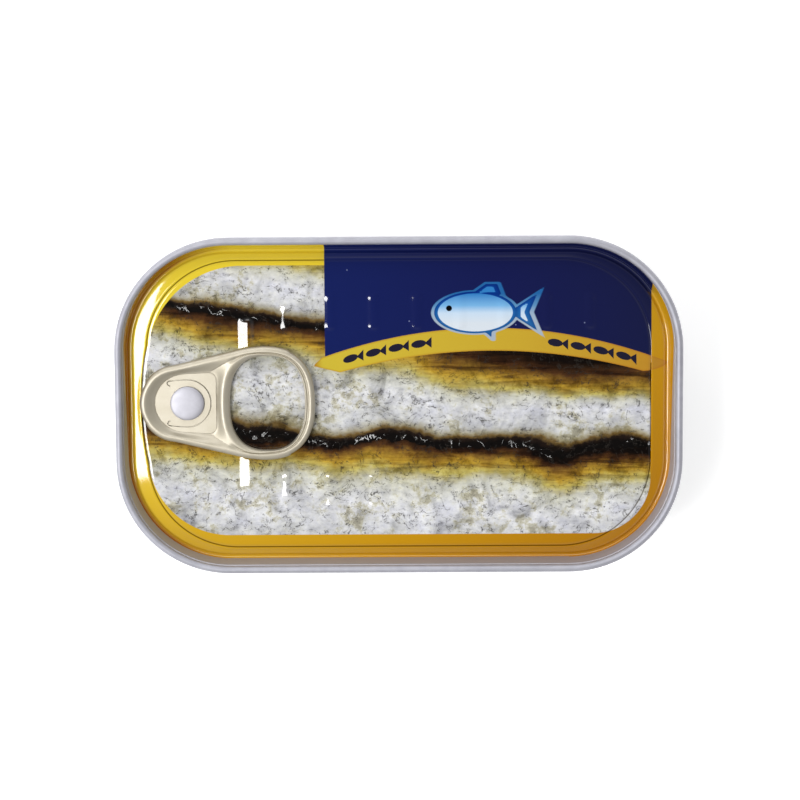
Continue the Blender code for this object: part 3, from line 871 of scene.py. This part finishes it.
def drawFish(add, inMm, x):
    # each body runs from a pale belly to an olive and gold back, with dark oil between them
    shares = add("Attribute", out="Vector", attribute_name="fishShares")
    waver = add("TexNoise", {"Vector": inMm, "Scale": 0.06, "Detail": 1.5})
    frays = add("TexNoise", {"Vector": inMm, "Scale": 0.7, "Detail": 3.0})
    slowly = add("MapRange", {"Value": waver, "From Min": 0.25, "From Max": 0.75,
                              "To Min": -0.11, "To Max": 0.11})
    finely = add("MapRange", {"Value": frays, "From Min": 0.25, "From Max": 0.75,
                              "To Min": -0.02, "To Max": 0.02})
    wavered = add("Math", {0: slowly, 1: finely}, operation="ADD")
    lively = add("VectorMath", {0: shares, 1: wavered}, operation="ADD")
    upperFish = add("SeparateXYZ", {0: lively}, out="X")
    middleFish, lowerFish = upperFish.node.outputs["Y"], upperFish.node.outputs["Z"]
    onMiddle = add("Math", {0: middleFish, 1: 1.0}, operation="LESS_THAN")
    belowMiddle = add("Math", {0: middleFish, 1: -0.05}, operation="LESS_THAN")
    share = add("Mix", {0: onMiddle, 2: upperFish, 3: middleFish})
    share = add("Mix", {0: belowMiddle, 2: share, 3: lowerFish})

    # the gold takes up more of a back where the spread is higher, as it does at the middle fish's far end
    widening = add("MapRange", {"Value": x, "From Min": -18, "From Max": 26,
                                "To Min": -0.5, "To Max": 1.35})
    spread = add("Mix", {0: onMiddle, 2: 0.0, 3: widening})
    spread = add("Mix", {0: belowMiddle, 2: spread, 3: -1.0})
    kept = add("Math", {0: share, 1: 0.0}, operation="MAXIMUM")
    left = add("Math", {0: 1.0, 1: kept}, operation="SUBTRACT")
    bulge = add("Math", {0: kept, 1: left}, operation="MULTIPLY")
    factor = add("Math", {0: bulge, 1: spread, 2: 1.0}, operation="MULTIPLY_ADD")
    depth = add("Math", {0: kept, 1: factor}, operation="MULTIPLY")
    fish = add("ValToRGB", {"Fac": depth}, stops=inks["skin"])

    # silver sheen in patches of 7 mm, flecks of 1 mm, olive stains of 5 mm, and fibres along the back
    foil = add("TexNoise", {"Vector": inMm, "Scale": 0.15, "Detail": 6.0, "Roughness": 0.6,
                            "Distortion": 1.6})
    scaly = add("VectorMath", {0: inMm, 1: (0.75, 1.25, 1.0)}, operation="MULTIPLY")
    speckle = add("TexNoise", {"Vector": scaly, "Scale": 0.9, "Detail": 8.0, "Roughness": 0.75})
    patches = add("TexNoise", {"Vector": inMm, "Scale": 0.22, "Detail": 8.0, "Roughness": 0.75})
    lengthwise = add("VectorMath", {0: inMm, 1: (0.1, 1.0, 1.0)}, operation="MULTIPLY")
    fibres = add("TexNoise", {"Vector": lengthwise, "Scale": 0.7, "Detail": 5.0, "Roughness": 0.6,
                              "Distortion": 0.9})
    onBack = add("MapRange", {"Value": depth, "From Min": 0.55, "From Max": 0.8,
                              "To Min": 0.1, "To Max": 0.9})
    for pattern, look, strength in ((speckle, "fleck", 1.0), (foil, "sheen", 1.0),
                                    (patches, "stain", 0.65), (fibres, "fibres", onBack)):
        layer = add("ValToRGB", {"Fac": pattern}, stops=inks[look])
        fish = add("Mix", {0: strength, 6: fish, 7: layer}, **multiply)

    # fine dark wrinkles in the skin, and glints on the oil between the bodies
    wrinkles = add("TexNoise", {"Vector": inMm, "Scale": 0.28, "Detail": 5.0, "Roughness": 0.62,
                                "Distortion": 0.9})
    offLine = add("Math", {0: wrinkles, 1: 0.5}, operation="SUBTRACT")
    fromLine = add("Math", {0: offLine}, operation="ABSOLUTE")
    gate = add("MapRange", {"Value": speckle, "From Min": 0.54, "From Max": 0.47, "To Max": 0.8})
    line = add("MapRange", {"Value": fromLine, "From Min": 0.016, "From Max": 0.004})
    wrinkled = add("Math", {0: line, 1: gate}, operation="MULTIPLY")
    fish = add("Mix", {0: wrinkled, 6: fish, 7: linear(inks["wrinkle"])}, **blend)
    glintLine = add("MapRange", {"Value": fromLine, "From Min": 0.012, "From Max": 0.004})
    inOil = add("MapRange", {"Value": share, "From Min": 0.03, "From Max": 0.0})
    glintGate = add("MapRange", {"Value": foil, "From Min": 0.53, "From Max": 0.56})
    oilGlint = add("Math", {0: glintLine, 1: inOil}, operation="MULTIPLY")
    glint = add("Math", {0: oilGlint, 1: glintGate}, operation="MULTIPLY")
    return add("Mix", {0: glint, 6: fish, 7: linear(inks["oilGlint"])}, **blend)


def drawBadge(add, place, inside, rise):
    # white fish with a blue back, a blue line and a pale rim
    badgeInk = add("MapRange", {"Value": inside, "From Max": 2.4})
    tone = add("ValToRGB", {"Fac": badgeInk}, stops=inks["badgeRim"])
    back = add("MapRange", {"Value": rise, "From Min": -0.35, "From Max": 0.6})
    side = add("ValToRGB", {"Fac": back}, stops=inks["badgeSide"])
    tone = add("Mix", {0: 1.0, 6: tone, 7: side}, **multiply)
    eyePlace = add("VectorMath", {0: place, 1: (0, -0.66, 0.14)}, operation="SUBTRACT")
    eyeRound = add("VectorMath", {0: eyePlace, 1: (0, 11.0, 5.75)}, operation="MULTIPLY")
    eyeSize = add("VectorMath", {0: eyeRound}, out="Value", operation="LENGTH")
    eye = add("ValToRGB", {"Fac": eyeSize}, stops=((0.0, 0.0), (0.5, 0.0), (0.58, 1.0), (1.0, 1.0)))
    return add("Mix", {0: 1.0, 6: tone, 7: eye}, **multiply)


def drawBand(add, x, band, shadeDrift):
    # yellow band, darker towards the right with painted shade, with a row of small fish on either side of
    # the badge
    edges = zip(design["bandTop"], design["bandFoot"])
    crestY, crestX, fall = [(upper + lower) / 2 for upper, lower in edges]
    tone = add("ValToRGB", {"Fac": shadeDrift}, stops=inks["band"])
    along = add("Math", {0: x, 1: crestX}, operation="SUBTRACT")
    drop = add("Math", {0: along, 1: along}, operation="MULTIPLY")
    rowHeight = add("Math", {0: drop, 1: fall, 2: x.node.outputs["Y"]}, operation="MULTIPLY_ADD")
    upright = add("Math", {0: rowHeight, 1: crestY + 0.1}, operation="SUBTRACT")
    cell = add("Math", {0: x, 1: 2.1, 2: -2.1}, operation="WRAP")
    bodyPlace = add("CombineXYZ", {"X": cell, "Y": upright})
    stretchedBody = add("VectorMath", {0: bodyPlace, 1: (0.72, 1.4, 1)}, operation="MULTIPLY")
    shifted = add("VectorMath", {0: stretchedBody, 1: (0.35, 0, 0)}, operation="ADD")
    bodySize = add("VectorMath", {0: shifted}, out="Value", operation="LENGTH")
    onBody = add("MapRange", {"Value": bodySize, "From Min": 1.02, "From Max": 0.95})
    halfHeight = add("Math", {0: upright}, operation="ABSOLUTE")
    tailSide = add("Math", {0: cell, 1: 0.8, 2: -0.5}, operation="MULTIPLY_ADD")
    tailEdge = add("Math", {0: tailSide, 1: halfHeight}, operation="SUBTRACT")
    tailEnd = add("Math", {0: 1.9, 1: cell}, operation="SUBTRACT")
    tailInside = add("Math", {0: tailEdge, 1: tailEnd}, operation="MINIMUM")
    onTail = add("MapRange", {"Value": tailInside, "From Min": -0.04, "From Max": 0.04})
    onFish = add("Math", {0: onBody, 1: onTail}, operation="MAXIMUM")
    fromBadge = add("Math", {0: along}, operation="ABSOLUTE")
    besideBadge = add("Math", {0: fromBadge, 1: 10.5}, operation="GREATER_THAN")
    insideEnds = add("Math", {0: fromBadge, 1: 27.3}, operation="LESS_THAN")
    shown = add("Math", {0: besideBadge, 1: insideEnds}, operation="MULTIPLY")
    rowMask = add("Math", {0: onFish, 1: shown}, operation="MULTIPLY")
    tone = add("Mix", {0: rowMask, 6: tone, 7: linear(inks["bandFish"])}, **blend)
    atEdge = add("MapRange", {"Value": band, "From Min": 0.35, "From Max": 0.0, "To Max": 0.45})
    return add("Mix", {0: atEdge, 6: tone, 7: linear(inks["bandEdge"])}, **blend)


def drawYellow(add, inMm, x):
    # yellow field with painted light and shade, lemon at the upper left and darker towards the lower right,
    # and painted brown shade in the groove beside the seam at the left end
    shadeDrift = add("VectorMath", {0: inMm, 1: inks["yellowPaintedShade"]}, out="Value", operation="DOT_PRODUCT")
    paintedShadeShare = add("MapRange", {"Value": shadeDrift, "From Min": -0.5, "From Max": 0.5})
    yellow = add("ValToRGB", {"Fac": paintedShadeShare}, stops=inks["yellow"])
    # painted shade in the groove beside the seam at the left end, where the seam wall keeps the light off
    fromSeam = add("Attribute", out="Fac", attribute_name="fromSeam")
    nearSeam = add("MapRange", {"Value": fromSeam, "From Min": 3.1, "From Max": 2.2})
    leftEnd = add("MapRange", {"Value": x, "From Min": -30, "From Max": -42})
    paintedGrooveShade = add("Math", {0: nearSeam, 1: leftEnd}, operation="MULTIPLY")
    return add("Mix", {0: paintedGrooveShade, 6: yellow, 7: linear(inks["leftGrooveShade"])}, **blend)


def drawBlue(add, inMm, shadeDrift):
    # blue field, darker towards the right with painted shade, and a few specks of dust
    tone = add("ValToRGB", {"Fac": shadeDrift}, stops=inks["blue"])
    dust = add("TexVoronoi", {"Vector": inMm, "Scale": 0.075}, out="Distance", voronoi_dimensions="2D")
    onDust = add("MapRange", {"Value": dust, "From Min": 0.013, "From Max": 0.005, "To Max": 0.45})
    return add("Mix", {0: onDust, 6: tone, 7: linear(inks["dust"])}, **blend)


def makePrint():
    # offset print on aluminium sheet under a gloss varnish: the inks look deep and wet, with crisp edges
    material, add, shader, inMm = newMaterial("varnishedTinPrint")
    x = add("SeparateXYZ", {0: inMm}, out="X")
    fields = add("Attribute", out="Vector", attribute_name="printFields")
    picture = add("SeparateXYZ", {0: fields}, out="X")
    blue, band = picture.node.outputs["Y"], picture.node.outputs["Z"]
    badgePlace = add("Attribute", out="Vector", attribute_name="badgeField")
    badge = add("SeparateXYZ", {0: badgePlace}, out="X")
    wall = add("Attribute", out="Fac", attribute_name="bareWall")
    masks = [add("MapRange", {"Value": field, "From Min": -0.05, "From Max": 0.05})
             for field in (picture, blue, band, badge, wall)]
    onPicture, onBlue, onBand, onBadge, bare = masks
    # the blue and the band grow darker towards the right: painted shade, away from the light on the left
    shadeDrift = add("MapRange", {"Value": x, "From Min": -16, "From Max": 48})
    tone = drawYellow(add, inMm, x)
    layers = ((onPicture, drawFish(add, inMm, x)), (onBlue, drawBlue(add, inMm, shadeDrift)),
              (onBand, drawBand(add, x, band, shadeDrift)),
              (onBadge, drawBadge(add, badgePlace, badge, badge.node.outputs["Z"])))
    for mask, layer in layers:
        tone = add("Mix", {0: mask, 6: tone, 7: layer}, **blend)

    # the score cuts through the varnish, and its groove is darkened with painted shade; both show less on
    # the dark blue
    scoreLine = add("Attribute", out="Fac", attribute_name="scored")
    bluePart = add("Mix", {0: onBlue, 2: 1.0, 3: 0.25})
    scored = add("Math", {0: scoreLine, 1: bluePart}, operation="MULTIPLY")
    tone = add("Mix", {0: scored, 6: tone, 7: inks["scoreShade"]}, **multiply)
    uncut = add("MapRange", {"Value": scored, "From Max": 0.7, "To Min": 1.0, "To Max": 0.0})

    # the print stops part of the way up the chuck wall, and bare lacquered metal follows
    tone = add("Mix", {0: bare, 6: tone, 7: linear(inks["bareMetal"])}, **blend)
    onYellow = add("Mix", {0: onPicture, 2: 0.12, 3: 0.02})
    inkMetal = add("Mix", {0: onBlue, 2: onYellow, 3: 0.0})
    metal = add("Mix", {0: bare, 2: inkMetal, 3: 0.8})
    varnish = add("Mix", {0: bare, 2: uncut, 3: 0.2})
    rough = add("Mix", {0: bare, 2: 0.45, 3: 0.55})
    wave = add("TexNoise", {"Vector": inMm, "Scale": 0.35, "Detail": 2.0})
    bump = add("Bump", {"Height": wave, "Strength": 0.1, "Distance": 0.00005})
    # the ink lies under the varnish, so only the varnish mirrors
    setInputs(shader, {"Base Color": tone, "Metallic": metal, "Roughness": rough, "Specular IOR Level": 0.0})
    setInputs(shader, {"Coat Weight": varnish, "Coat Roughness": 0.06, "Coat IOR": 1.6, "Coat Normal": bump})
    return material


bodyMetal = makeAluminium("drawnAluminiumBody", ("A4A5A9", "B4B5B9"), (0.34, 0.44), (1.5, 1.5, 0.06))
silver = makeAluminium("clearLacqueredAluminium", ("A2A2AB", "AEAEB6"), (0.5, 0.62), (0.5, 0.5, 0.08), 0.5)
rivetMetal = makeAluminium("satinRivetAluminium", ("B0AFB6", "B8B7BE"), (0.5, 0.56), (0.8, 0.8, 0.8))
gold = makeGoldLacquer()
printed = makePrint()

buildBody(bodyMetal)
buildSeam(silver)
buildPanel(printed)
buildTab(gold)
buildIsland(gold)
buildRivet(rivetMetal)
print("pieces made")


# Floor, light and camera

stage = {
    "floor": 6.0,            # side of the floor in metres, as are all lengths of the stage
    "floorGlow": 0.4,        # keeps the paper white in the tin's soft shadow
    "camera": (0.0045, 0.0707, 0.549),
    "lookAt": (0.00023, 0.00121, 0.029),
    "roll": 0.38,             # degrees that the picture's upright is turned from +Y
    "lens": 128.5,
    "sky": ((0.0, 0.85), (0.3, 0.8), (0.5, 0.66), (0.78, 0.5), (0.93, 0.12), (0.98, 0.05), (1.0, 0.05)),
    "skyStrength": 1.25,       # the sky is darkest straight overhead, where the varnish mirrors it
    "skyLean": (-0.5, 0.2, 0),  # and it is brighter on the left
    "lightAim": (0, 0, 0.025),
    "lights": {                # place, size and radiance; radiance 1 looks like a white sheet in full light
        "keyLeft": ((-0.257, -0.045, 0.59), (0.19, 0.225), 18),
        "fillBack": ((-0.05, 0.5, 0.45), (0.5, 0.3), 2.5),
    },
}


def buildFloor():
    # a matt white sheet of paper under the tin
    floorMesh = bpy.data.meshes.new("floor")
    bm = bmesh.new()
    bmesh.ops.create_grid(bm, x_segments=1, y_segments=1, size=stage["floor"] / 2)
    bm.to_mesh(floorMesh)
    bm.free()
    floor = bpy.data.objects.new("floor", floorMesh)
    bpy.context.scene.collection.objects.link(floor)
    material = bpy.data.materials.new("matPaperSheet")
    material.use_nodes = True
    paper = material.node_tree.nodes["Principled BSDF"]
    setInputs(paper, {"Base Color": linear("FAFAFA"), "Roughness": 0.9})
    setInputs(paper, {"Emission Color": (1, 1, 1, 1), "Emission Strength": stage["floorGlow"]})
    floorMesh.materials.append(material)


def addSoftLight(name, place, size, radiance):
    # a rectangular soft box that faces the tin
    lamp = bpy.data.lights.new(name, "AREA")
    lamp.shape = "RECTANGLE"
    lamp.size, lamp.size_y = size
    lamp.energy = radiance * math.pi * size[0] * size[1]
    box = bpy.data.objects.new(name, lamp)
    bpy.context.scene.collection.objects.link(box)
    box.location = place
    box.rotation_euler = (Vector(stage["lightAim"]) - Vector(place)).to_track_quat("-Z", "Y").to_euler()


def buildLight():
    # a pale studio sky and the soft boxes
    world = bpy.data.worlds.new("studio")
    bpy.context.scene.world = world
    world.use_nodes = True
    add = partial(addNode, world.node_tree)
    direction = add("TexCoord", out="Generated")
    height = add("SeparateXYZ", {0: direction}, out="Z")
    sky = add("ValToRGB", {"Fac": height}, stops=stage["sky"])
    lean = add("VectorMath", {0: direction, 1: stage["skyLean"]}, out="Value", operation="DOT_PRODUCT")
    strength = add("Math", {0: lean, 1: stage["skyStrength"]}, operation="ADD")
    setInputs(world.node_tree.nodes["Background"], {"Color": sky, "Strength": strength})
    for name, (place, size, radiance) in stage["lights"].items():
        addSoftLight(name, place, size, radiance)


def buildCamera():
    # looks down on the tin, a little from the side of its upper edge
    lens = bpy.data.cameras.new("camera")
    lens.lens = stage["lens"]
    lens.sensor_width = 36
    camera = bpy.data.objects.new("camera", lens)
    bpy.context.scene.collection.objects.link(camera)
    place = Vector(stage["camera"])
    forward = (Vector(stage["lookAt"]) - place).normalized()
    roll = math.radians(stage["roll"])
    right = forward.cross(Vector((math.sin(roll), math.cos(roll), 0))).normalized()
    up = right.cross(forward)
    turn = Matrix((right, up, -forward)).transposed()
    camera.matrix_world = Matrix.Translation(place) @ turn.to_4x4()
    lens.clip_start, lens.clip_end = 0.01, 10
    bpy.context.scene.camera = camera


buildFloor()
buildLight()
buildCamera()
bpy.context.scene.view_settings.view_transform = "Standard"
print("stage made")
